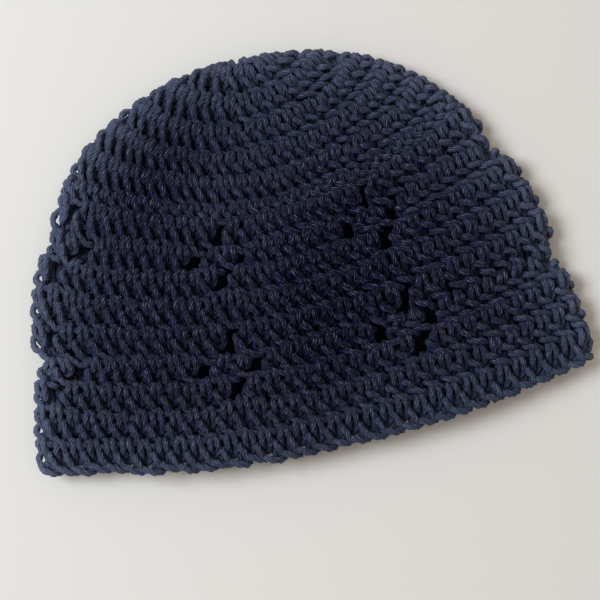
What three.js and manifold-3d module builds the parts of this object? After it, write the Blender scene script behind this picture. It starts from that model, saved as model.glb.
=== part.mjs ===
// A crocheted beanie, lying flat on its side as it does when it is laid down.
//
// It is one continuous piece of fabric, worked in rounds from the centre of
// the crown to the brim. Flattened, the fabric is two layers joined round a
// soft fold: the front layer faces up, the back layer lies on the surface.
// Millimetres, +Z up. The brim and its open mouth face -Y, the crown is at +Y.
//
// A place on the fabric is named by three numbers:
//   rounds  how far down from the centre of the crown, counted in tall rounds
//   across  -1 at the left fold, 0 in the middle, 1 at the right fold
//   layer   1 for the front layer, -1 for the back layer
// x and y run from the middle of the straight line between the brim's corners.

import * as THREE from 'three';
import { mergeVertices } from 'three/addons/utils/BufferGeometryUtils.js';
import Module from 'manifold-3d';

// ---- Driving dimensions ----

const WALL = 5; // thickness of the crocheted fabric
const FOLD_RADIUS = 4.5; // bend of the middle of the fabric round the fold
const ROUND_HEIGHT = 12.15; // height of one tall round
const SHORT_ROUND = 0.45; // height of the one short round, in tall rounds
const ROUNDS = 15 + SHORT_ROUND; // crown centre to brim edge, in tall rounds
const SHORT_ROUND_START = 6; // the short round begins below this many rounds
const BRIM_STITCHES = 66;
const BRIM_STRETCH = 3.6; // how much further down the last rounds reach
const BACK_ROUND_HEIGHT = 11.75; // the back layer is drawn up a little
const CROWN_SHIFT = 9; // the crown's centre lies this far behind the top fold
const CROWN_SHIFT_ANGLE = 25; // and that shift fades out to each side
const CROWN_SHIFT_REACH = 70; // and down the fabric
const ROUND_CROWN_END = 7; // above this round the rows turn into circles

// The front layer's height above the lowest it could lie.
const SWELL = 8; // in the middle of the hat
const MOUTH_SWELL = 4; // at the open mouth
const SWELL_REACH = 60; // distance from the fold to the full swell
const MOUTH_START = -10; // the mouth's swell holds up to this y
const MOUTH_END = 60; // and the middle's from this y on

const FABRIC_COLOUR = 0x20263c;

// The flattened hat's outline, round the middle of the brim.
// angle: degrees from +X; radius: mm
const OUTLINE = [
  { angle: 0, radius: 131.5 },
  { angle: 20, radius: 135.7 },
  { angle: 28, radius: 141.5 },
  { angle: 36, radius: 147.5 },
  { angle: 48, radius: 157 },
  { angle: 56, radius: 163.4 },
  { angle: 66, radius: 169.3 },
  { angle: 78, radius: 171.5 },
  { angle: 90, radius: 171 },
  { angle: 102, radius: 170.7 },
  { angle: 112, radius: 167.5 },
  { angle: 122, radius: 163 },
  { angle: 130, radius: 154.5 },
  { angle: 144, radius: 143.5 },
  { angle: 152, radius: 137 },
  { angle: 160, radius: 130.5 },
  { angle: 168, radius: 129.3 },
  { angle: 180, radius: 129 },
];

// Where the fold runs through an eyelet, the outline has a notch.
// angle and width: degrees; depth: mm
const NOTCHES = [
  { angle: 22, width: 2.2, depth: 4.5 },
  { angle: 45, width: 2.4, depth: 4.5 },
  { angle: 136, width: 2.2, depth: 3 },
  { angle: 158, width: 2.2, depth: 3.5 },
];

// Soft hollows in the front layer.
// x, y: the hollow's middle; along, over: its half lengths; turn: degrees; depth: mm
const HOLLOWS = [
  { x: -40, y: 146, along: 30, over: 13, turn: 24, depth: 4.5 },
  { x: 34, y: 112, along: 70, over: 7, turn: 22, depth: 1.2 },
];

// Each eyelet flower is four holes round a little cross of yarn.
// stitch: from the flower's middle, to the right; round: below the flower's
// top round; wide: along the row; tall: across the row, mm
const FLOWER_HOLES = [
  { stitch: 0.1, round: 0, wide: 4.6, tall: 7.2 },
  { stitch: -1.75, round: 0.87, wide: 7.6, tall: 4.6 },
  { stitch: 1.45, round: 0.95, wide: 7.6, tall: 4.6 },
  { stitch: -0.1, round: 1.62, wide: 6.6, tall: 5.6 },
];
const FLOWER_TOP_ROUNDS = [6.98, 10.9]; // two bands of flowers
const FLOWERS_IN_BAND = 6;
const FIRST_FLOWER_STITCH = -4.1; // from the middle of the front layer
const HOLE_SIDES = 8;
const PLUG_SPARE = 3; // how much longer than the wall each hole's plug is

// ---- How finely the fabric is divided ----

const STEPS_NEAR_FOLD = [0, 3.6, 7.2, 12]; // mm from the fold
const STEPS_IN_ROW = 22; // between the last of those, left to right
const POLE_ROUND = 0.35; // the first ring of the net, round its pole
const PLAIN_ROUNDS = 3; // rounds at the brim, below the notches, with no half steps

// ---- Helpers ----

const toRadians = THREE.MathUtils.degToRad;
const toDegrees = THREE.MathUtils.radToDeg;
const smooth = THREE.MathUtils.smoothstep;
const FOLD_QUARTER = (FOLD_RADIUS * Math.PI) / 2;
const FOLD_EXTRA = FOLD_QUARTER - FOLD_RADIUS; // fabric that the bend takes up

// A smooth curve through a table's points.
function curveThrough(table, key, value, at) {
  const last = table.length - 1;
  let i = 0;
  while (i < last - 1 && at > table[i + 1][key]) i += 1;
  const slope = (a, b) => (table[b][value] - table[a][value]) / (table[b][key] - table[a][key]);
  const span = table[i + 1][key] - table[i][key];
  const t = THREE.MathUtils.clamp((at - table[i][key]) / span, 0, 1);
  const startSlope = slope(Math.max(i - 1, 0), i + 1);
  const endSlope = slope(i, Math.min(i + 2, last));
  return (
    (2 * t ** 3 - 3 * t ** 2 + 1) * table[i][value] +
    (t ** 3 - 2 * t ** 2 + t) * span * startSlope +
    (3 * t ** 2 - 2 * t ** 3) * table[i + 1][value] +
    (t ** 3 - t ** 2) * span * endSlope
  );
}

function bell(distance, width) {
  return Math.exp(-((distance / width) ** 2));
}

// ---- The shape of the flattened fabric ----

function outlineRadius(angle) {
  let radius = curveThrough(OUTLINE, 'angle', 'radius', angle);
  for (const notch of NOTCHES) {
    radius -= notch.depth * bell(angle - notch.angle, notch.width);
  }
  return radius;
}

const TOP_Y = outlineRadius(90);

// How far down from the top fold a round's middle lies, along the fabric.
function middleDrop(rounds, layer) {
  if (layer < 0) return BACK_ROUND_HEIGHT * rounds;
  return ROUND_HEIGHT * rounds + BRIM_STRETCH * (rounds / ROUNDS) ** 6;
}

// A place on one layer as if the fold were pressed open: x, y.
function sheetPlace(rounds, across, layer) {
  const endAngle = 90 * (1 - rounds / ROUNDS);
  const rightReach = outlineRadius(endAngle) + FOLD_EXTRA;
  const leftReach = outlineRadius(180 - endAngle) + FOLD_EXTRA;
  const endX = Math.cos(toRadians(endAngle));
  const endY = Math.sin(toRadians(endAngle));
  const halfWidth = ((rightReach + leftReach) / 2) * endX;
  const shift = ((rightReach - leftReach) / 2) * endX;
  const endHeight = ((rightReach + leftReach) / 2) * endY;
  const tilt = ((rightReach - leftReach) / 2) * endY;

  const roundness = 1 - smooth(rounds, 1, ROUND_CROWN_END);
  const quarter = (across * Math.PI) / 2;
  const along = THREE.MathUtils.lerp(across, Math.sin(quarter), roundness);
  const sag = THREE.MathUtils.lerp(1 - across ** 2, Math.cos(quarter), roundness);

  const middleY = TOP_Y + FOLD_EXTRA - middleDrop(rounds, layer);
  return {
    x: halfWidth * along + shift * along ** 2,
    y: endHeight + tilt * along - (endHeight - middleY) * sag,
  };
}

// How much higher than its lowest the front layer lies at x, y.
function frontSwell(x, y, fromFold) {
  const toMouth = 1 - smooth(y, MOUTH_START, MOUTH_END);
  let swell = THREE.MathUtils.lerp(SWELL, MOUTH_SWELL, toMouth);
  for (const hollow of HOLLOWS) {
    const turn = toRadians(hollow.turn);
    const dx = x - hollow.x;
    const dy = y - hollow.y;
    const along = dx * Math.cos(turn) + dy * Math.sin(turn);
    const over = dy * Math.cos(turn) - dx * Math.sin(turn);
    swell -= hollow.depth * bell(along, hollow.along) * bell(over, hollow.over);
  }
  return swell * smooth(fromFold, 0, SWELL_REACH);
}

// The middle of the fabric in space. The stitches near the crown's centre are
// drawn over the top fold by crownShift; the shape of the hat is the same.
function fabricPlace(rounds, across, layer, crownShift) {
  const sheet = sheetPlace(rounds, across, layer);
  const inBody = sheet.y > 0;
  const angle = inBody ? toDegrees(Math.atan2(sheet.y, sheet.x)) : sheet.x > 0 ? 0 : 180;
  const reach = inBody ? Math.hypot(sheet.x, sheet.y) : Math.abs(sheet.x);
  const outline = outlineRadius(angle);

  const toFold = outline + FOLD_EXTRA - reach;
  const shiftFade = (1 - THREE.MathUtils.clamp(toFold / CROWN_SHIFT_REACH, 0, 1)) ** 2;
  const shift = crownShift * bell(angle - 90, CROWN_SHIFT_ANGLE) * shiftFade;
  const pastFold = layer * toFold - shift;

  const onBend = Math.abs(pastFold) < FOLD_QUARTER;
  const bend = THREE.MathUtils.clamp(pastFold / FOLD_RADIUS, -Math.PI / 2, Math.PI / 2);
  const inset = onBend ? FOLD_RADIUS * (1 - Math.cos(bend)) : Math.abs(pastFold) - FOLD_EXTRA;

  const newReach = outline - inset;
  const x = inBody ? newReach * Math.cos(toRadians(angle)) : Math.sign(sheet.x) * newReach;
  const y = inBody ? newReach * Math.sin(toRadians(angle)) : sheet.y;
  let z = WALL / 2 + FOLD_RADIUS * (1 + Math.sin(bend));
  if (pastFold > FOLD_QUARTER) z += frontSwell(x, y, inset - FOLD_RADIUS);
  return new THREE.Vector3(x, y, z);
}

// The same, by a position once round the hat: 0 to 2 is the front layer from
// left to right, 2 to 4 the back layer from right to left.
function placeRoundHat(rounds, turn, crownShift) {
  const around = ((turn % 4) + 4) % 4;
  if (around <= 2) return fabricPlace(rounds, around - 1, 1, crownShift);
  return fabricPlace(rounds, 3 - around, -1, crownShift);
}

// The fabric's outward direction and its direction along the row, to the right
// on the front layer.
function directionsRoundHat(rounds, turn, crownShift) {
  const roundStep = 0.02;
  const turnStep = 0.02;
  const above = placeRoundHat(Math.max(rounds - roundStep, 0.001), turn, crownShift);
  const below = placeRoundHat(Math.min(rounds + roundStep, ROUNDS), turn, crownShift);
  const before = placeRoundHat(rounds, turn - turnStep, crownShift);
  const after = placeRoundHat(rounds, turn + turnStep, crownShift);
  const row = after.sub(before).normalize();
  const outward = below.sub(above).cross(row).normalize();
  return { outward, row };
}

// ---- The net of points ----

function turnsOfRow() {
  const halfRow = outlineRadius(0) + FOLD_EXTRA;
  const nearFold = STEPS_NEAR_FOLD.map((distance) => distance / halfRow);
  const edge = nearFold[nearFold.length - 1];
  const turns = [...nearFold.slice(0, -1)];
  for (let i = 0; i <= STEPS_IN_ROW; i += 1) {
    turns.push(edge + ((2 - 2 * edge) * i) / STEPS_IN_ROW);
  }
  turns.push(...nearFold.slice(1, -1).map((distance) => 2 - distance).reverse());
  return [...turns, ...turns.map((turn) => turn + 2)];
}

function roundsOfNet() {
  const rings = [POLE_ROUND];
  for (let ring = 1; ring <= SHORT_ROUND_START; ring += 1) rings.push(ring);
  for (let ring = SHORT_ROUND_START + SHORT_ROUND; ring < ROUNDS; ring += 1) {
    rings.push(ring);
    if (ring < ROUNDS - PLAIN_ROUNDS) rings.push(ring + 0.5);
  }
  rings.push(ROUNDS);
  return rings;
}

// One skin of the shell, half a wall out from or in from the fabric's middle.
// The net's own pole lies on the top fold.
function skin(offset, rings, turns) {
  const points = [];
  for (const ring of rings) {
    for (const turn of turns) {
      const { outward } = directionsRoundHat(ring, turn, 0);
      points.push(placeRoundHat(ring, turn, 0).addScaledVector(outward, offset));
    }
  }
  const pole = placeRoundHat(0, 1, 0);
  pole.y += offset;
  points.push(pole);
  return points;
}

function shellGeometry() {
  const rings = roundsOfNet();
  const turns = turnsOfRow();
  const count = turns.length;
  const outer = skin(WALL / 2, rings, turns);
  const inner = skin(-WALL / 2, rings, turns);
  const points = [...outer, ...inner];
  const innerStart = outer.length;
  const poleIndex = outer.length - 1;
  const faces = [];
  const quad = (a, b, c, d) => faces.push(a, b, c, a, c, d);

  for (let i = 0; i < count; i += 1) {
    const next = (i + 1) % count;
    faces.push(poleIndex, i, next);
    faces.push(innerStart + poleIndex, innerStart + next, innerStart + i);
    for (let ring = 0; ring < rings.length - 1; ring += 1) {
      const a = ring * count + i;
      const b = (ring + 1) * count + i;
      const c = (ring + 1) * count + next;
      const d = ring * count + next;
      quad(a, b, c, d);
      quad(innerStart + d, innerStart + c, innerStart + b, innerStart + a);
    }
    const lip = (rings.length - 1) * count;
    quad(lip + i, innerStart + lip + i, innerStart + lip + next, lip + next);
  }

  const geometry = new THREE.BufferGeometry();
  geometry.setAttribute('position', new THREE.Float32BufferAttribute(points.flatMap((p) => p.toArray()), 3));
  geometry.setIndex(faces);
  return geometry;
}

// ---- The eyelets ----

// A short oval plug straight through the wall, standing in the hole's place.
function eyeletPlug(rounds, turn, wide, tall) {
  const { outward, row } = directionsRoundHat(rounds, turn, CROWN_SHIFT);
  const downward = new THREE.Vector3().crossVectors(row, outward);
  const plug = new THREE.CylinderGeometry(0.5, 0.5, WALL + PLUG_SPARE, HOLE_SIDES);
  plug.scale(wide, 1, tall);
  const stance = new THREE.Matrix4().makeBasis(row, outward, downward);
  stance.setPosition(placeRoundHat(rounds, turn, CROWN_SHIFT));
  return plug.applyMatrix4(stance);
}

function eyeletPlugs() {
  const plugs = [];
  const turnsPerStitch = 4 / BRIM_STITCHES;
  for (const top of FLOWER_TOP_ROUNDS) {
    for (let flower = 0; flower < FLOWERS_IN_BAND; flower += 1) {
      const middle = FIRST_FLOWER_STITCH + (flower * BRIM_STITCHES) / FLOWERS_IN_BAND;
      for (const hole of FLOWER_HOLES) {
        const turn = 1 + (middle + hole.stitch) * turnsPerStitch;
        plugs.push(eyeletPlug(top + hole.round, turn, hole.wide, hole.tall));
      }
    }
  }
  return plugs;
}

// ---- Cutting the eyelets out of the shell ----

const wasm = await Module();
wasm.setup();

function toSolid(geometry) {
  const bare = geometry.clone();
  bare.deleteAttribute('normal');
  bare.deleteAttribute('uv');
  const merged = mergeVertices(bare, 1e-3);
  const mesh = new wasm.Mesh({
    numProp: 3,
    vertProperties: new Float32Array(merged.attributes.position.array),
    triVerts: new Uint32Array(merged.index.array),
  });
  return new wasm.Manifold(mesh);
}

function toGeometry(solid) {
  const mesh = solid.getMesh();
  const geometry = new THREE.BufferGeometry();
  geometry.setAttribute('position', new THREE.BufferAttribute(mesh.vertProperties, 3));
  geometry.setIndex(new THREE.BufferAttribute(mesh.triVerts, 1));
  return geometry;
}

function beanieGeometry() {
  let solid = toSolid(shellGeometry());
  for (const plug of eyeletPlugs()) solid = solid.subtract(toSolid(plug));
  const geometry = toGeometry(solid);
  geometry.computeBoundingBox();
  const box = geometry.boundingBox;
  const middle = box.getCenter(new THREE.Vector3());
  geometry.translate(-middle.x, -middle.y, -box.min.z);
  return geometry;
}

const fabric = new THREE.MeshStandardMaterial({ color: FABRIC_COLOUR, roughness: 0.9, metalness: 0 });
const beanie = new THREE.Mesh(beanieGeometry(), fabric);
beanie.name = 'crocheted_beanie';

const hat = new THREE.Group();
hat.add(beanie);

export default hat;
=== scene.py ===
"""A crocheted beanie lying flat, made stitch by stitch from one plied yarn.

The fabric's shape is the CAD model's: the same formulas name a place on it by
  rounds  how far down from the centre of the crown, counted in tall rounds
  turn    once round the hat: 0 to 2 is the front layer from left to right,
          2 to 4 the back layer from right to left
Along every round runs the yarn's path through its stitches. It is swept into a
yarn of four plies. Shapes are worked out in millimetres and made in metres.
"""

import math

import bpy
import numpy as np
from mathutils import Matrix, Vector


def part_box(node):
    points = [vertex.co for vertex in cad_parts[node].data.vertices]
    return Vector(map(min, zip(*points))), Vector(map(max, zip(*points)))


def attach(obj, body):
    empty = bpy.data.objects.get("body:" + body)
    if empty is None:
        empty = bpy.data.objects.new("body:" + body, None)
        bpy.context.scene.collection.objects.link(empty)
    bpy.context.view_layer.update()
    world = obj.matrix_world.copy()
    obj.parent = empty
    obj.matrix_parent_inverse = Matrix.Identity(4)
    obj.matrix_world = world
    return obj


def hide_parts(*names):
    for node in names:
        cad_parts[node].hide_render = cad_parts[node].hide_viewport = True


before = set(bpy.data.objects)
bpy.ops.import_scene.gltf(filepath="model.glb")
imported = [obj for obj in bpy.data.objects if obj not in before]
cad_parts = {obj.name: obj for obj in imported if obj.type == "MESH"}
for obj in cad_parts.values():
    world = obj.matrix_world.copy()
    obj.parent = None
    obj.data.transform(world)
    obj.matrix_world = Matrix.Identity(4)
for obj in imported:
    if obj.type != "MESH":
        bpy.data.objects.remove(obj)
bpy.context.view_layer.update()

MM = 0.001
CAD_NODE = "crocheted_beanie"

# ---- The flattened fabric's shape, as in the CAD model ----

# Lengths are in mm.
WALL = 5.0
FOLD_RADIUS = 4.5  # bend of the middle of the fabric round the fold
ROUND_HEIGHT = 12.15  # height of one tall round
SHORT_ROUND = 0.45  # height of the one short round, in tall rounds
ROUNDS = 15 + SHORT_ROUND  # crown centre to brim edge, in tall rounds
BRIM_STITCHES = 66
BRIM_STRETCH = 3.6  # how much further down the last rounds reach
BACK_ROUND_HEIGHT = 11.75
CROWN_SHIFT = 9.0  # the crown's centre lies this far behind the top fold
CROWN_SHIFT_ANGLE = 25.0  # degrees
CROWN_SHIFT_REACH = 70.0
ROUND_CROWN_END = 7.0  # above this round the rows turn into circles

SWELL = 8.0  # how far the front layer rises in its middle
MOUTH_SWELL = 4.0  # and at the brim
SWELL_REACH = 60.0  # in from the fold, where that is full
MOUTH_START = -10.0  # y up to which the brim's swell is the whole of it
MOUTH_END = 60.0  # y from which none of that is left

# angle: degrees from +X; radius: mm
OUTLINE = (
    (0, 131.5),
    (20, 135.7),
    (28, 141.5),
    (36, 147.5),
    (48, 157.0),
    (56, 163.4),
    (66, 169.3),
    (78, 171.5),
    (90, 171.0),
    (102, 170.7),
    (112, 167.5),
    (122, 163.0),
    (130, 154.5),
    (144, 143.5),
    (152, 137.0),
    (160, 130.5),
    (168, 129.3),
    (180, 129.0),
)
# angle, width: degrees; depth: mm
NOTCHES = ((22, 2.2, 4.5), (45, 2.4, 4.5), (136, 2.2, 3.0), (158, 2.2, 3.5))
# x, y, half length along, half length over, turn in degrees, depth
HOLLOWS = ((-40, 146, 30, 13, 24, 4.5), (34, 112, 70, 7, 22, 1.2))

FOLD_QUARTER = FOLD_RADIUS * math.pi / 2
FOLD_EXTRA = FOLD_QUARTER - FOLD_RADIUS


def lerp(a, b, t):
    return a + (b - a) * t


def smoothstep(x, low, high):
    t = np.clip((x - low) / (high - low), 0, 1)
    return t * t * (3 - 2 * t)


def bell(distance, width):
    return np.exp(-((distance / width) ** 2))


def curve_through(table, at):
    """A smooth curve through a table's points."""
    keys, values = np.array(table, float).T
    last = len(keys) - 1
    i = np.searchsorted(keys[1:last], at, side="left")
    before, after = np.maximum(i - 1, 0), np.minimum(i + 2, last)
    start_slope = (values[i + 1] - values[before]) / (keys[i + 1] - keys[before])
    end_slope = (values[after] - values[i]) / (keys[after] - keys[i])
    span = keys[i + 1] - keys[i]
    t = np.clip((at - keys[i]) / span, 0, 1)
    return (
        (2 * t**3 - 3 * t**2 + 1) * values[i]
        + (t**3 - 2 * t**2 + t) * span * start_slope
        + (3 * t**2 - 2 * t**3) * values[i + 1]
        + (t**3 - t**2) * span * end_slope
    )


def outline_radius(angle):
    radius = curve_through(OUTLINE, angle)
    for notch_angle, width, depth in NOTCHES:
        radius = radius - depth * bell(angle - notch_angle, width)
    return radius


def outline_place(x, y):
    """Whether a place is above the outline's centre, its angle there and its reach; below the
    centre the sides are straight, and the reach is sideways."""
    above = y > 0
    side = np.where(x > 0, 0.0, 180.0)
    angle = np.where(above, np.degrees(np.arctan2(y, x)), side)
    reach = np.where(above, np.hypot(x, y), np.abs(x))
    return above, angle, reach


TOP_Y = float(outline_radius(np.array(90.0)))


def middle_drop(rounds, layer):
    front = ROUND_HEIGHT * rounds + BRIM_STRETCH * (rounds / ROUNDS) ** 6
    return np.where(layer < 0, BACK_ROUND_HEIGHT * rounds, front)


def sheet_place(rounds, across, layer):
    """A place on one layer as if the fold were pressed open."""
    end_angle = 90 * (1 - rounds / ROUNDS)
    right_reach = outline_radius(end_angle) + FOLD_EXTRA
    left_reach = outline_radius(180 - end_angle) + FOLD_EXTRA
    mean_reach = (right_reach + left_reach) / 2
    half_gap = (right_reach - left_reach) / 2
    end_x, end_y = np.cos(np.radians(end_angle)), np.sin(np.radians(end_angle))

    roundness = 1 - smoothstep(rounds, 1, ROUND_CROWN_END)
    quarter = across * math.pi / 2
    along = lerp(across, np.sin(quarter), roundness)
    sag = lerp(1 - across**2, np.cos(quarter), roundness)

    middle_y = TOP_Y + FOLD_EXTRA - middle_drop(rounds, layer)
    x = mean_reach * end_x * along + half_gap * end_x * along**2
    y = mean_reach * end_y + half_gap * end_y * along - (mean_reach * end_y - middle_y) * sag
    return x, y


def hollow_share(x, y, hollow_x, hollow_y, half_along, half_over, turned):
    """How deep a place lies in a hollow, from 0 outside it to 1 at its middle."""
    cos, sin = math.cos(math.radians(turned)), math.sin(math.radians(turned))
    along = (x - hollow_x) * cos + (y - hollow_y) * sin
    over = (y - hollow_y) * cos - (x - hollow_x) * sin
    return bell(along, half_along) * bell(over, half_over)


def front_swell(x, y, from_fold):
    to_mouth = 1 - smoothstep(y, MOUTH_START, MOUTH_END)
    swell = lerp(SWELL, MOUTH_SWELL, to_mouth)
    for *hollow, depth in HOLLOWS:
        swell = swell - depth * hollow_share(x, y, *hollow)
    return swell * smoothstep(from_fold, 0, SWELL_REACH)


def fabric_place(rounds, turn):
    """The middle of the fabric in space, in mm, as rows of x, y, z."""
    around = np.mod(turn, 4)
    front = around <= 2
    across = np.where(front, around - 1, 3 - around)
    layer = np.where(front, 1.0, -1.0)
    sheet_x, sheet_y = sheet_place(rounds, across, layer)

    in_body, angle, reach = outline_place(sheet_x, sheet_y)
    outline = outline_radius(angle)

    to_fold = outline + FOLD_EXTRA - reach
    shift_fade = (1 - np.clip(to_fold / CROWN_SHIFT_REACH, 0, 1)) ** 2
    shift = CROWN_SHIFT * bell(angle - 90, CROWN_SHIFT_ANGLE) * shift_fade
    past_fold = layer * to_fold - shift

    on_bend = np.abs(past_fold) < FOLD_QUARTER
    bend = np.clip(past_fold / FOLD_RADIUS, -math.pi / 2, math.pi / 2)
    flat_inset = np.abs(past_fold) - FOLD_EXTRA
    inset = np.where(on_bend, FOLD_RADIUS * (1 - np.cos(bend)), flat_inset)

    new_reach = outline - inset
    x = np.where(in_body, new_reach * np.cos(np.radians(angle)), np.sign(sheet_x) * new_reach)
    y = np.where(in_body, new_reach * np.sin(np.radians(angle)), sheet_y)
    z = WALL / 2 + FOLD_RADIUS * (1 + np.sin(bend))
    swell = front_swell(x, y, inset - FOLD_RADIUS)
    z = z + np.where(past_fold > FOLD_QUARTER, swell, 0.0)
    return np.stack([x, y, z], axis=-1)


def unit(vectors):
    return vectors / np.maximum(np.linalg.norm(vectors, axis=-1, keepdims=True), 1e-9)


SMALL_STEP = 0.02  # rounds or turns
CROWN_CENTRE = 0.001  # rounds


def fabric_outward(rounds, turn):
    """The fabric's outward direction at places on it."""
    above = fabric_place(np.maximum(rounds - SMALL_STEP, CROWN_CENTRE), turn)
    below = fabric_place(rounds + SMALL_STEP, turn)
    before = fabric_place(rounds, turn - SMALL_STEP)
    after = fabric_place(rounds, turn + SMALL_STEP)
    return unit(np.cross(below - above, after - before))


FIRST_RING = 0.35  # rounds, where the CAD model's mesh begins
BOX_ROWS, BOX_COLUMNS = 120, 400  # how finely the fabric's own box is measured


def frame_offset():
    """From the fabric's own coordinates to the frame's, in mm, by matching the CAD box."""
    rows = np.linspace(FIRST_RING, ROUNDS, BOX_ROWS)
    rounds, turn = np.meshgrid(rows, np.linspace(0, 4, BOX_COLUMNS))
    skin = fabric_place(rounds, turn) + fabric_outward(rounds, turn) * WALL / 2
    low, high = skin.reshape(-1, 3).min(0), skin.reshape(-1, 3).max(0)
    box_low, box_high = (np.array(corner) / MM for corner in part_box(CAD_NODE))
    offset = (box_low + box_high) / 2 - (low + high) / 2
    offset[2] = box_low[2]
    return offset


OFFSET = frame_offset()

# ---- The yarn's path through one stitch ----

YARN_RADIUS = 1.8
OUTWARD_SHIFT = -0.7  # mm, so that the yarn's surface stays near the wall's
STITCH_WIDTH = 8.05  # mm along the round, of an average stitch
STEPS_IN_STITCH = 58
STEPS_IN_SKIPPED = 16

# A stitch's path. The yarn rises behind, comes out at the round's top, goes down as
# one leg and back behind, comes out and goes down again as the other leg, crosses
# behind to the left, comes forward as a slanted bar below the legs, and then lays
# the chain. The path then goes on in the next stitch.
# u: along the round, in stitches; v: down the round, 0 at its top and 1 at its
# bottom; n: mm outward
LEGS = (
    (-0.20, 0.92, -1.9),
    (-0.22, 0.66, -2.3),
    (-0.08, 0.40, -2.3),
    (0.20, 0.10, -2.1),
    (0.37, -0.14, -0.8),
    (0.36, -0.11, 0.9),
    (0.34, -0.02, 2.1),
    (0.30, 0.09, 2.2),
    (0.26, 0.20, 1.4),
    (0.26, 0.32, -0.2),
    (0.38, 0.50, -1.9),
    (0.50, 0.36, -2.4),
    (0.60, 0.10, -2.1),
    (0.64, -0.14, -0.8),
    (0.65, -0.11, 0.9),
    (0.67, -0.02, 2.1),
    (0.71, 0.09, 2.2),
    (0.75, 0.20, 1.4),
    (0.73, 0.32, -0.2),
    (0.64, 0.54, -1.8),
    (0.40, 0.62, -2.4),
    (0.06, 0.40, -1.8),
)
BAR = (
    (-0.14, 0.28, 0.2),
    (-0.12, 0.35, 1.8),
    (-0.04, 0.46, 2.4),
    (0.07, 0.59, 2.1),
    (0.18, 0.72, 1.2),
    (0.25, 0.80, -0.2),
    (0.18, 0.76, -1.7),
    (0.04, 0.68, -1.3),
)
CHAIN = (
    (0.10, 0.71, -0.2),
    (0.24, 0.80, 0.8),
    (0.42, 0.88, 1.1),
    (0.62, 0.94, 1.0),
    (0.86, 0.98, 0.7),
    (1.10, 1.00, 0.4),
    (1.28, 1.02, -0.7),
    (1.18, 1.02, -1.9),
    (0.98, 1.00, -2.3),
)
# Towards the right side the bar lies flatter, and the chain shows above the next round's legs.
FLAT_BAR = (
    (-0.24, 0.27, 0.2),
    (-0.22, 0.35, 1.7),
    (-0.06, 0.42, 2.4),
    (0.14, 0.49, 2.2),
    (0.33, 0.56, 1.0),
    (0.42, 0.62, -0.5),
    (0.28, 0.67, -1.9),
    (0.06, 0.67, -1.2),
)
SHOWN_CHAIN = (
    (0.10, 0.69, 0.3),
    (0.22, 0.73, 1.4),
    (0.42, 0.79, 1.9),
    (0.62, 0.86, 1.6),
    (0.84, 0.93, 0.8),
    (1.06, 0.98, 0.0),
    (1.24, 1.02, -1.0),
    (1.18, 1.02, -2.0),
    (0.98, 1.00, -2.3),
)
# The chain that ends the fabric leans outward, and shows both its strands.
BRIM_CHAIN = (
    (0.10, 0.67, 0.6),
    (0.24, 0.70, 1.8),
    (0.46, 0.76, 2.1),
    (0.72, 0.83, 1.6),
    (0.98, 0.87, 0.8),
    (1.22, 0.86, -0.3),
    (1.36, 0.81, -1.3),
    (1.20, 0.79, -2.1),
    (0.96, 0.79, -2.3),
)
# Where a stitch is skipped to leave an eyelet, only the chain goes on.
SKIPPED = (
    (-0.05, 1.00, -1.9),
    (0.08, 0.97, -1.0),
    (0.30, 0.95, 0.3),
    (0.58, 0.96, 0.9),
    (0.86, 0.98, 0.8),
    (1.10, 1.00, 0.5),
    (1.28, 1.02, -0.6),
    (1.18, 1.02, -1.9),
    (0.98, 1.00, -2.3),
)


CELL = np.array([STITCH_WIDTH, ROUND_HEIGHT, 1.0])  # mm in a step of u, v and n
STEPS_BETWEEN = 24  # between two of a path's points, while it is measured


def spline(points, count):
    """Evenly spaced points on a smooth periodic path, whose period is one stitch."""
    points = np.array(points, float)
    period = np.array([1.0, 0, 0])
    held = np.vstack([points[-1:] - period, points, points[:2] + period])
    t = np.linspace(0, 1, STEPS_BETWEEN, endpoint=False)[:, None]
    dense = []
    for i in range(len(points)):
        a, b, c, d = held[i : i + 4]
        squared = 2 * a - 5 * b + 4 * c - d
        cubed = 3 * b - a - 3 * c + d
        dense.append(0.5 * (2 * b + (c - a) * t + squared * t**2 + cubed * t**3))
    dense = np.vstack(dense + [points[:1] + period])
    lengths = np.linalg.norm(np.diff(dense * CELL, axis=0), axis=1)
    along = np.concatenate([[0], np.cumsum(lengths)])
    at = np.linspace(0, along[-1], count, endpoint=False)
    return np.stack([np.interp(at, along, dense[:, axis]) for axis in range(3)], axis=1)


RELAX_STEPS = 220
OWN_REACH = 2.6 * YARN_RADIUS  # mm along the yarn, within which it doesn't push itself
PRESSED = 2 * YARN_RADIUS * 0.7  # mm, how thick the yarn stays where it is pressed
PUSH, MOST_PUSH = 0.25, 0.4  # share of the overlap that a step clears; mm at most
STRAIGHTEN = 0.06  # how much of each bend a step takes out
HOLD = 0.20  # how much of the way back to its start a step moves a point
LOWEST, HIGHEST = -2.6, 2.4  # mm outward


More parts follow.
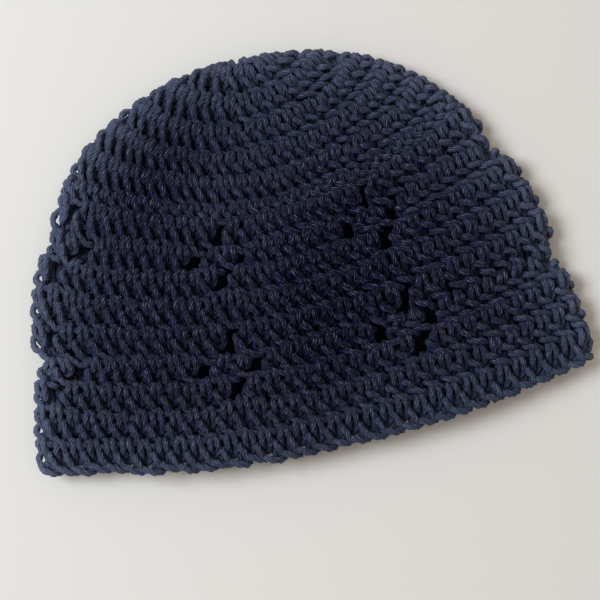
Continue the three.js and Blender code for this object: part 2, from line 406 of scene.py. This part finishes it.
def relaxed(path):
    """The path with the yarn's own thickness: its turns push each other apart."""
    start = path * CELL
    points = start.copy()
    count = len(points)
    spacing = np.linalg.norm(np.diff(points, axis=0), axis=1).mean()
    skip = int(math.ceil(OWN_REACH / spacing))
    index = np.arange(count)
    shift = np.array([STITCH_WIDTH, 0, 0])
    for _ in range(RELAX_STEPS):
        push = np.zeros_like(points)
        # The yarn meets itself, in this stitch and in the ones beside, above and below it.
        for across in range(-3, 4):
            for down in (-1, 0, 1):
                other = points + np.array([across * STITCH_WIDTH, down * ROUND_HEIGHT, 0])
                gap = points[:, None, :] - other[None, :, :]
                distance = np.linalg.norm(gap, axis=2) + 1e-6
                near = distance < PRESSED
                if down == 0:
                    along = (index[None, :] + across * count) - index[:, None]
                    near &= np.abs(along) > skip
                if near.any():
                    weight = np.where(near, (PRESSED - distance) / distance, 0)
                    push += PUSH * (weight[:, :, None] * gap).sum(1)
        before = np.vstack([points[-1:] - shift, points[:-1]])
        after = np.vstack([points[1:], points[:1] + shift])
        points = points + np.clip(push, -MOST_PUSH, MOST_PUSH)
        points = points + STRAIGHTEN * ((before + after) / 2 - points)
        points = points + HOLD * (start - points)
        points[:, 2] = np.clip(points[:, 2], LOWEST, HIGHEST)
    return points / CELL


STITCH = relaxed(spline(LEGS + BAR + CHAIN, STEPS_IN_STITCH))
FLAT_STITCH = relaxed(spline(LEGS + FLAT_BAR + SHOWN_CHAIN, STEPS_IN_STITCH))
BRIM_STITCH = spline(LEGS + BAR + BRIM_CHAIN, STEPS_IN_STITCH)
SKIPPED_STITCH = spline(SKIPPED, STEPS_IN_SKIPPED)

# ---- The rounds ----

STITCHES_IN_CROWN = (12, 24, 36, 48, 60, 66)
SEAM_TURN = 3.0  # the rounds begin in the middle of the back layer


def round_list():
    """Each round's place down the hat, its height in tall rounds and its number of stitches."""
    rounds = [(k, 1.0, count) for k, count in enumerate(STITCHES_IN_CROWN)]
    start = float(len(STITCHES_IN_CROWN))
    rounds.append((start, SHORT_ROUND, BRIM_STITCHES))
    start += SHORT_ROUND
    while start < ROUNDS - 0.5:
        rounds.append((start, 1.0, BRIM_STITCHES))
        start += 1.0
    return rounds


ALL_ROUNDS = round_list()
ROW_SHIFT = 0.03  # rounds, how far down each row lies from its regular place
ROW_SHIFT_END = (12, 15)  # rounds, where that fades out
BRIM_HEIGHT = 1.12  # of the last round, in rounds
RING_START = 0.2  # rounds, the small ring that the first round's stitches are worked into
RING_ABOVE = -0.1  # the smallest v in the first round
NEAREST_CENTRE = 0.05  # rounds

# Which stitches are left out for the eyelets, in each round counted from 0.
EYELET_TOP_ROUNDS = (7, 11)
EYELET_EVERY = 11  # stitches, six times round
SHIFT_REACH = 1.6  # stitches
FIRST_DRAWN = EYELET_TOP_ROUNDS[0] - 3  # no eyelet draws the rounds above this one
# round below the flower's top, stitch, shift in stitches
EYELETS = ((0, 12, 0.0), (1, 10, 0.15), (1, 13, 0.35), (2, 12, 0.0))

# The yarn is drawn together round each flower of eyelets.
# round: below the flower's top; stitch: as in EYELETS; reach_down, reach_along: in
# rounds and stitches; down: how far the rows are drawn down there, in rounds
PULLS = (
    (0.0, 12.4, 0.45, 0.9, 0.12),
    (1.0, 10.6, 0.45, 1.0, 0.24),
    (1.0, 12.4, 0.45, 1.0, 0.12),
    (1.0, 13.8, 0.45, 1.0, 0.20),
    (1.95, 12.4, 0.50, 2.4, -0.10),
    (2.95, 12.4, 0.50, 1.1, -0.24),
)
# round, stitch, reach_down: the same; half_gap: half the hole's width as skipped,
# in stitches; close: how much of that is drawn shut
PINCHES = (
    (0.5, 12.42, 0.50, 0.60, 0.26),
    (1.5, 10.60, 0.45, 0.60, 0.10),
    (1.5, 13.80, 0.45, 0.60, 0.10),
    (2.3, 12.42, 0.50, 0.60, 0.08),
)


def drawn_together(rounds, stitch):
    """Moves places on the fabric for the pull of the eyelets; stitch is in brim stitches."""
    down, along = np.zeros_like(rounds), np.zeros_like(rounds)
    for top in EYELET_TOP_ROUNDS:
        top_round = ALL_ROUNDS[top][0]
        for pull_round, pull_stitch, reach_down, reach_along, amount in PULLS:
            across = wrapped(stitch - pull_stitch)
            near = bell(rounds - top_round - pull_round, reach_down) * bell(across, reach_along)
            down += amount * near
        for pinch_round, pinch_stitch, reach_down, half_gap, close in PINCHES:
            across = wrapped(stitch - pinch_stitch) / half_gap
            near = bell(rounds - top_round - pinch_round, reach_down)
            along -= close * across * np.exp(0.5 * (1 - across**2)) * near
    return rounds + down, stitch + along


def wrapped(stitches):
    """The distance along the round to the nearest flower's place."""
    return np.mod(stitches + EYELET_EVERY / 2, EYELET_EVERY) - EYELET_EVERY / 2


def skipped_stitches(round_index):
    skipped = set()
    for top in EYELET_TOP_ROUNDS:
        for below, stitch, _ in EYELETS:
            if round_index == top + below:
                places = range(stitch, stitch + BRIM_STITCHES, EYELET_EVERY)
                skipped |= {place % BRIM_STITCHES for place in places}
    return skipped


def eyelet_shifts(round_index):
    """How far along the round the stitches beside an eyelet lie from the regular place."""
    rows = [row for top in EYELET_TOP_ROUNDS for row in EYELETS if round_index == top + row[0]]

    def shift_at(stitch):
        total = np.zeros_like(stitch)
        for _, place, shift in rows:
            total += shift * bell(wrapped(stitch - place - 0.5), SHIFT_REACH)
        return total

    return shift_at


rng = np.random.default_rng(7)

# reach in steps along the yarn, amount: in stitches and rounds along the fabric, in mm outward
UNEVEN_ALONG = ((5, 0.022), (20, 0.035))
UNEVEN_OUTWARD = (8, 0.14)


def drift(count, reach, amount):
    """Smooth random wandering along a path."""
    kernel = np.exp(-0.5 * (np.arange(-3 * reach, 3 * reach + 1) / reach) ** 2)
    kernel /= math.sqrt((kernel**2).sum())
    noise = rng.normal(size=(count + 6 * reach, 3))
    return amount * np.stack([np.convolve(noise[:, a], kernel, "valid") for a in range(3)], axis=1)


# Painted light and shade: the yarn's colour is lifted a little everywhere, and more towards the crown
# and within reach of the fold and the brim's edge, most at the sides, as painted glare and sheen;
# patches lower it as painted shade.
PALE_ALL = 0.07
PALE_CROWN = 0.18  # more of it towards the crown
CROWN_LOW, CROWN_HIGH = 80.0, 130.0  # mm up from the brim's middle, where that begins and is full
PALE_REACH = 24.0  # mm in from the edges
PALE_LEFT, PALE_RIGHT = 0.70, 0.36  # how much more of it there is at the sides than at the brim
PALE_RIM, RIM_REACH = 0.60, 9.0  # more of it right at the fold; mm in from it
BRIM_FADE = 1.2  # the brim's edge counts as this much further off than it is
# Painted shade patches: x, y, half length along, half length over, turn in degrees, how much less pale;
# the one with a negative amount is a painted light patch instead
PAINTED_SHADE_PATCHES = (
    (-52, 130, 40, 21, 41, 0.56),
    (31, 66, 50, 20, 65, 0.13),
    (11, 38, 44, 15, 75, 0.21),
    (-28, 82, 50, 26, 79, -0.20),
)


def painted_light_and_shade(rounds, turn):
    """Painted light and shade on the yarn: how much lighter it is coloured, most at the edges as
    painted glare and sheen, and below 0 as painted shade in the darkest places.
    """
    x, y, _ = fabric_place(rounds, turn).T
    _, angle, reach = outline_place(x, y)
    to_fold = np.maximum(outline_radius(angle) - reach, 0)
    to_edge = np.minimum(to_fold, BRIM_FADE * np.maximum(ROUNDS - rounds, 0) * ROUND_HEIGHT)
    side = np.where(x < 0, -PALE_LEFT, PALE_RIGHT) * x / outline_radius(0.0)
    pale = PALE_ALL + PALE_CROWN * smoothstep(y, CROWN_LOW, CROWN_HIGH)
    near_edge = np.exp(-to_edge / PALE_REACH) + PALE_RIM * np.exp(-to_fold / RIM_REACH)
    pale = pale + near_edge * (1 + side)
    # Painted shade: the patches lower the lift, below 0 where the shade is darkest.
    for *place, amount in PAINTED_SHADE_PATCHES:
        pale = pale - amount * hollow_share(x, y, *place)
    return pale


# turns, where the flatter stitch begins and is full, and where it is full last and ends
FLAT_FROM = (0.6, 1.5)
FLAT_TO = (2.5, 3.4)


def flatness(turn):
    """How much of the flatter stitch there is: all of it at the right side, none at the left."""
    turn = turn % 4
    return smoothstep(turn, *FLAT_FROM) * (1 - smoothstep(turn, *FLAT_TO))


def round_path(index):
    """One round's yarn: its middle line in mm in the frame, the outward direction and height in the
    fabric along it, and its painted light and shade."""
    start, height, count = ALL_ROUNDS[index]
    height_above = ALL_ROUNDS[max(index - 1, 0)][1]
    skipped = skipped_stitches(index)
    side_shift = eyelet_shifts(index)
    last = index == len(ALL_ROUNDS) - 1
    cells = []
    first = int(round(count * SEAM_TURN / 4))
    for i in range(count):
        j = first + i
        if (j % count) in skipped:
            cell = SKIPPED_STITCH
        elif last:
            cell = BRIM_STITCH
        else:
            cell = lerp(STITCH, FLAT_STITCH, flatness(4 * (j + 0.5) / count))
        cells.append(cell + np.array([j, 0, 0]))
    path = np.vstack(cells)
    for uneven in UNEVEN_ALONG:
        path[:, :2] += drift(len(path), *uneven)[:, :2]
    path[:, 2] += drift(len(path), *UNEVEN_OUTWARD)[:, 2] + OUTWARD_SHIFT

    u, v, n = path.T
    if index == 0:
        v = RING_START + (1 - RING_START) * np.maximum(v, RING_ABOVE)
    if last:
        height = BRIM_HEIGHT
    down = np.where(v < 0, v * height_above, v * height)
    rounds = np.maximum(start + down, NEAREST_CENTRE)
    rounds = rounds + ROW_SHIFT * (1 - smoothstep(start, *ROW_SHIFT_END))
    stitch = u * BRIM_STITCHES / count
    if start > FIRST_DRAWN:
        rounds, stitch = drawn_together(rounds, stitch + side_shift(stitch))
    turn = 4 * stitch / BRIM_STITCHES
    outward = fabric_outward(rounds, turn)
    points = fabric_place(rounds, turn) + outward * n[:, None]
    return points + OFFSET, outward, n, painted_light_and_shade(rounds, turn)


# ---- The yarn ----

PLIES = 4
RING = 2 * PLIES
LAY = 17.0  # mm for one whole turn of the plies
VALLEY = 0.76  # radius between two plies, as a share of the yarn's
STRANDS = 2 * PLIES
PAINTED_SHADE_HEIGHTS = (-1.4, 2.4)  # mm outward of the fabric's middle: where the painted shade between the stitches is darkest and where it has faded out


def smooth_path(points):
    points[1:-1] = 0.25 * points[:-2] + 0.5 * points[1:-1] + 0.25 * points[2:]
    return points


def turned_frames(points):
    """Directions across a path that don't twist about it."""
    tangent = unit(np.gradient(points, axis=0))
    side = np.zeros_like(points)
    current = np.cross(tangent[0], [0.0, 0.0, 1.0])
    current /= np.linalg.norm(current)
    for i, t in enumerate(tangent):
        current = current - t * (current @ t)
        current /= math.sqrt(current @ current)
        side[i] = current
    return tangent, side


def yarn_vertices(points, outward):
    """The yarn's skin, how far each place on it is outward of the middle line, and the length along."""
    tangent, side = turned_frames(points)
    other = np.cross(tangent, side)
    lengths = np.linalg.norm(np.diff(points, axis=0), axis=1)
    along = np.concatenate([[0], np.cumsum(lengths)])
    ring = np.arange(RING)
    radius = YARN_RADIUS * np.where(ring % 2 == 0, 1.0, VALLEY)
    angle = 2 * math.pi * (ring[None, :] / RING + along[:, None] / LAY)
    around = np.cos(angle)[..., None] * side[:, None] + np.sin(angle)[..., None] * other[:, None]
    from_middle = around * radius[None, :, None]
    rise = (from_middle * outward[:, None]).sum(-1)
    return (points[:, None] + from_middle).reshape(-1, 3), rise, along


def yarn_sides(along):
    """The faces between a yarn's rings, and their places in the UV map: x once round the yarn,
    y in cm along it."""
    rows, columns = np.meshgrid(np.arange(len(along) - 1), np.arange(RING), indexing="ij")
    rows, columns = rows.ravel(), columns.ravel()
    this, following = rows * RING, (rows + 1) * RING
    beside = (columns + 1) % RING
    corners = [this + columns, this + beside, following + beside, following + columns]
    low, high = along[rows] / 10, along[rows + 1] / 10
    left, right = columns / RING, (columns + 1) / RING
    uv = np.stack([left, low, right, low, right, high, left, high], axis=1)
    return np.stack(corners, axis=1), uv.reshape(-1, 2)


def add_values(mesh, name, kind, domain, values):
    attribute = mesh.attributes.new(name, kind, domain)
    attribute.data.foreach_set("value", values)


def filled_mesh(name, vertices, sides, caps):
    """A smooth mesh of four-sided faces and of caps, in m."""
    loops = np.concatenate([sides.ravel(), caps.ravel()])
    sizes = np.concatenate([np.full(len(sides), 4), np.full(len(caps), RING)])
    starts = np.concatenate([[0], np.cumsum(sizes)[:-1]])
    mesh = bpy.data.meshes.new(name)
    mesh.vertices.add(len(vertices))
    mesh.vertices.foreach_set("co", vertices.astype(np.float32).ravel())
    mesh.loops.add(len(loops))
    mesh.loops.foreach_set("vertex_index", loops.astype(np.int32))
    mesh.polygons.add(len(sizes))
    mesh.polygons.foreach_set("loop_start", starts.astype(np.int32))
    mesh.polygons.foreach_set("loop_total", sizes.astype(np.int32))
    mesh.update(calc_edges=True)
    mesh.validate()
    mesh.polygons.foreach_set("use_smooth", np.ones(len(sizes), bool))
    return mesh


def valley_edges(mesh):
    """The edges along the yarn between two plies."""
    ends = np.zeros(len(mesh.edges) * 2, np.int32)
    mesh.edges.foreach_get("vertices", ends)
    ring_place = ends.reshape(-1, 2) % RING
    return (ring_place[:, 0] == ring_place[:, 1]) & (ring_place[:, 0] % 2 == 1)


def yarn_mesh(name, yarns):
    """One mesh of several yarns, each as round_path gives it."""
    vertices, sides, uvs, caps, pales, out_of_painted_shade = [], [], [], [], [], []
    base = 0
    for points, outward, height, pale in yarns:
        made, rise, along = yarn_vertices(points, outward)
        faces, uv = yarn_sides(along)
        last = base + (len(points) - 1) * RING
        vertices.append(made)
        sides.append(base + faces)
        uvs.append(uv)
        caps.append([base + RING - 1 - i for i in range(RING)])
        caps.append([last + i for i in range(RING)])
        pales.append(np.repeat(pale, RING))
        # How far out of the painted shade each place on the yarn lies, from its height in the fabric.
        out_of_painted_shade.append(smoothstep(height[:, None] + rise, *PAINTED_SHADE_HEIGHTS).ravel())
        base += len(made)
    caps = np.array(caps)
    mesh = filled_mesh(name, np.vstack(vertices) * MM, np.vstack(sides), caps)

    layer = mesh.uv_layers.new(name="yarn")
    cap_uv = np.zeros((caps.size, 2))
    layer.data.foreach_set("uv", np.vstack([*uvs, cap_uv]).astype(np.float32).ravel())
    add_values(mesh, "pale", "FLOAT", "POINT", np.concatenate(pales).astype(np.float32))
    add_values(mesh, "out_of_painted_shade", "FLOAT", "POINT", np.concatenate(out_of_painted_shade).astype(np.float32))
    add_values(mesh, "sharp_edge", "BOOLEAN", "EDGE", valley_edges(mesh))
    mesh.update()
    return mesh


# ---- Materials ----

PAINTED_LIGHT_COLOUR = (0.0360, 0.0455, 0.0700)  # painted light: what the full lift adds to the yarn's colour, for painted glare and sheen
PAINTED_SHADE_TINT = (0.16, 0.25, 0.68)  # painted shade between the stitches: the deep places' colour, as a share of the raised places'
# The yarn's colour from its darkest to its lightest strands, with painted shade at the dark end and
# painted highlights at the light end: place on the ramp, colour
STRAND_TONE_AND_PAINTED_LIGHT = (
    (0.0, (0.0010, 0.0020, 0.0120, 1)),
    (0.45, (0.0027, 0.0050, 0.0290, 1)),
    (1.0, (0.118, 0.135, 0.236, 1)),
)
YARN_FINISH = {
    "Roughness": 0.55,
    "Specular IOR Level": 0.10,
    "Sheen Weight": 0.10,
    "Sheen Roughness": 0.4,
    "Sheen Tint": (0.42, 0.52, 1.0, 1),
}
FLOOR_FINISH = {
    "Base Color": (0.78, 0.775, 0.765, 1),
    "Roughness": 0.8,
    "Specular IOR Level": 0.2,
}
MIX_FIRST, MIX_SECOND, MIX_RESULT = 6, 7, 2  # a Mix node's colour sockets


def node(tree, kind, place, **values):
    made = tree.nodes.new(kind)
    made.location = place
    for key, value in values.items():
        if key in made.inputs:
            made.inputs[key].default_value = value
        else:
            setattr(made, key, value)
    return made


def maths(tree, operation, place, *inputs):
    """A Math node; each input is a number or another node's output."""
    made = tree.nodes.new("ShaderNodeMath")
    made.operation = operation
    made.location = place
    for socket, value in zip(made.inputs, inputs):
        if isinstance(value, (int, float)):
            socket.default_value = value
        else:
            tree.links.new(value, socket)
    return made.outputs[0]


def new_material(name, finish):
    """A material, its nodes and its shader, with the shader's own values set."""
    material = bpy.data.materials.new(name)
    material.use_nodes = True
    shader = material.node_tree.nodes["Principled BSDF"]
    for socket, value in finish.items():
        shader.inputs[socket].default_value = value
    return material, material.node_tree, shader


def yarn_material():
    material, tree, shader = new_material("navy_yarn", YARN_FINISH)
    link = tree.links.new

    uv = node(tree, "ShaderNodeUVMap", (-1500, 0), uv_map="yarn")
    split = node(tree, "ShaderNodeSeparateXYZ", (-1300, 200))
    link(uv.outputs["UV"], split.inputs[0])
    # Each ply is two strands: a ridge along each of them, not quite straight.
    bends = node(tree, "ShaderNodeTexNoise", (-1300, 500), Scale=4.0, Detail=1.0)
    link(uv.outputs["UV"], bends.inputs["Vector"])
    wander = maths(tree, "MULTIPLY_ADD", (-1100, 500), bends.outputs["Fac"], 0.07, split.outputs["X"])
    turn = maths(tree, "MULTIPLY", (-1100, 300), wander, 2 * math.pi * STRANDS)
    wave = maths(tree, "COSINE", (-950, 300), turn)
    ridge = maths(tree, "MULTIPLY_ADD", (-800, 300), wave, -0.5, 0.5)

    def streaks(height, across, along, detail):
        """Noise drawn out along the yarn; across and along: its steps a turn and a cm."""
        place = node(tree, "ShaderNodeMapping", (-1300, height))
        place.inputs["Rotation"].default_value = (0, 0, math.radians(8))
        place.inputs["Scale"].default_value = (across, along, 1)
        link(uv.outputs["UV"], place.inputs["Vector"])
        noise = node(tree, "ShaderNodeTexNoise", (-1100, height), Scale=1.0, Detail=detail)
        link(place.outputs["Vector"], noise.inputs["Vector"])
        return noise.outputs["Fac"]

    fibres = streaks(0, 34, 6.0, 2.0)
    lengths = streaks(-300, 13, 5.5, 1.0)

    rough = maths(tree, "MULTIPLY_ADD", (-600, -200), fibres, 0.5, ridge)
    height = maths(tree, "MULTIPLY_ADD", (-450, -200), lengths, 0.6, rough)
    bump = node(tree, "ShaderNodeBump", (-300, -250), Strength=0.9, Distance=0.0005)
    link(height, bump.inputs["Height"])
    link(bump.outputs["Normal"], shader.inputs["Normal"])

    # Light strands among dark ones at random, with painted highlights along the strands' ridges and
    # painted shade in the dark between them.
    pale = maths(tree, "MULTIPLY_ADD", (-650, 500), lengths, 2.8, -0.80)
    shade = maths(tree, "MULTIPLY", (-500, 400), pale, ridge)
    ramp = node(tree, "ShaderNodeValToRGB", (-350, 300))
    stops = ramp.color_ramp.elements
    stops.new(STRAND_TONE_AND_PAINTED_LIGHT[1][0])
    for stop, (position, colour) in zip(stops, STRAND_TONE_AND_PAINTED_LIGHT):
        stop.position = position
        stop.color = colour
    link(shade, ramp.inputs["Fac"])

    # Painted light and shade: above 0, the attribute adds a pale colour as painted glare and sheen;
    # below 0, it dims the yarn's own as painted shade.
    pale_place = node(tree, "ShaderNodeAttribute", (-350, 600), attribute_name="pale")
    lift = node(tree, "ShaderNodeVectorMath", (-150, 600), operation="SCALE")
    lift.inputs[0].default_value = PAINTED_LIGHT_COLOUR
    above = maths(tree, "MAXIMUM", (-250, 700), pale_place.outputs["Fac"], 0.0)
    below = maths(tree, "MINIMUM", (-250, 1100), pale_place.outputs["Fac"], 0.0)
    kept = maths(tree, "ADD", (-100, 1100), below, 1.0)
    link(above, lift.inputs["Scale"])

    # Painted shade: the yarn is coloured darker and bluer down between the stitches.
    out_of_painted_shade = node(tree, "ShaderNodeAttribute", (-350, 900), attribute_name="out_of_painted_shade")
    share = node(tree, "ShaderNodeMix", (-150, 900), data_type="RGBA")
    share.inputs[MIX_FIRST].default_value = (*PAINTED_SHADE_TINT, 1)
    share.inputs[MIX_SECOND].default_value = (1, 1, 1, 1)
    link(out_of_painted_shade.outputs["Fac"], share.inputs["Factor"])
    painted_shaded_strands = node(tree, "ShaderNodeVectorMath", (50, 400), operation="MULTIPLY")
    link(ramp.outputs["Color"], painted_shaded_strands.inputs[0])
    link(share.outputs[MIX_RESULT], painted_shaded_strands.inputs[1])
    dimmed = node(tree, "ShaderNodeVectorMath", (120, 700), operation="SCALE")
    link(painted_shaded_strands.outputs["Vector"], dimmed.inputs[0])
    link(kept, dimmed.inputs["Scale"])
    colour = node(tree, "ShaderNodeVectorMath", (200, 400), operation="ADD")
    link(dimmed.outputs["Vector"], colour.inputs[0])
    link(lift.outputs["Vector"], colour.inputs[1])
    link(colour.outputs["Vector"], shader.inputs["Base Color"])
    return material


# ---- The pieces ----

# piece, first round, last round
PIECES = (
    ("crown_rounds", 0, 4),
    ("upper_rounds", 5, 7),
    ("middle_rounds", 8, 10),
    ("lower_rounds", 11, 13),
    ("brim_rounds", 14, 15),
)

LOWEST_MIDDLE = YARN_RADIUS * 0.97 + 0.15  # mm above the floor, of the yarn's middle line
SOFTNESS = 0.5  # mm, over which it comes to rest


def settle(points):
    """The yarn rests on the surface that the hat lies on."""
    over = points[:, 2] - LOWEST_MIDDLE
    points[:, 2] = LOWEST_MIDDLE + SOFTNESS * np.logaddexp(0, over / SOFTNESS)
    return points


yarn = yarn_material()
yarns = []
for index in range(len(ALL_ROUNDS)):
    points, outward, height, pale = round_path(index)
    yarns.append((smooth_path(settle(points)), outward, height, pale))
for name, first, last in PIECES:
    mesh = yarn_mesh(name, yarns[first : last + 1])
    mesh.materials.append(yarn)
    piece = bpy.data.objects.new(name, mesh)
    bpy.context.scene.collection.objects.link(piece)
    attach(piece, "root")
    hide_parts(CAD_NODE)

# ---- Floor, light and camera ----

FLOOR_REACH = 20.0  # m from the middle


def make_floor():
    low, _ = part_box(CAD_NODE)
    corners = [(-1, -1), (1, -1), (1, 1), (-1, 1)]
    mesh = bpy.data.meshes.new("floor")
    mesh.from_pydata(
        [(FLOOR_REACH * x, FLOOR_REACH * y, low.z) for x, y in corners],
        [],
        [(0, 1, 2, 3)],
    )
    mesh.materials.append(new_material("pale_floor", FLOOR_FINISH)[0])
    floor = bpy.data.objects.new("floor", mesh)
    bpy.context.scene.collection.objects.link(floor)


# The hat is turned in the picture, and the camera looks down from the brim's side.
PICTURE_TURN = math.radians(11.6)
ELEVATION = math.radians(85)
DISTANCE = 0.62  # m
PICTURE_WIDTH = 0.2808  # m, at that distance
SENSOR = 36.0
AIM_HEIGHT = 12  # mm above the floor
# The middle of the picture, from the middle of the brim, in mm in the picture's own directions.
PICTURE_MIDDLE = (-7.0, 53.0)


def make_camera():
    data = bpy.data.cameras.new("camera")
    data.sensor_width = SENSOR
    data.lens = SENSOR * DISTANCE / PICTURE_WIDTH
    camera = bpy.data.objects.new("camera", data)
    bpy.context.scene.collection.objects.link(camera)
    right = Vector((math.cos(PICTURE_TURN), -math.sin(PICTURE_TURN), 0))
    up = Vector((math.sin(PICTURE_TURN), math.cos(PICTURE_TURN), 0))
    middle = right * PICTURE_MIDDLE[0] + up * PICTURE_MIDDLE[1] + Vector(OFFSET)
    target = (middle + Vector((0, 0, AIM_HEIGHT))) * MM
    back = -up * math.cos(ELEVATION) + Vector((0, 0, math.sin(ELEVATION)))
    camera.location = target + back * DISTANCE
    view_up = right.cross(-back)
    turn = Matrix((right, view_up, back)).transposed()
    camera.matrix_world = Matrix.Translation(camera.location) @ turn.to_4x4()
    bpy.context.scene.camera = camera


ROOM_COLOUR, ROOM_STRENGTH = (1.0, 0.88, 0.75, 1), 0.44
WINDOW_PLACE = (-1.08, 0.40, 1.30)  # m
WINDOW_SIZE, WINDOW_POWER = 0.80, 25.0  # m, W
WINDOW_COLOUR = (0.90, 0.96, 1.0)


def make_light():
    """A soft warm room, and a cooler window to the left and behind."""
    world = bpy.data.worlds.new("soft_room")
    bpy.context.scene.world = world
    world.use_nodes = True
    background = world.node_tree.nodes["Background"]
    background.inputs["Color"].default_value = ROOM_COLOUR
    background.inputs["Strength"].default_value = ROOM_STRENGTH

    data = bpy.data.lights.new("window", "AREA")
    data.size = WINDOW_SIZE
    data.energy = WINDOW_POWER
    data.color = WINDOW_COLOUR
    window = bpy.data.objects.new("window", data)
    bpy.context.scene.collection.objects.link(window)
    window.location = WINDOW_PLACE
    window.rotation_mode = "QUATERNION"
    window.rotation_quaternion = (-Vector(WINDOW_PLACE)).to_track_quat("-Z", "Y")


make_floor()
make_camera()
make_light()
bpy.context.scene.view_settings.view_transform = "Standard"
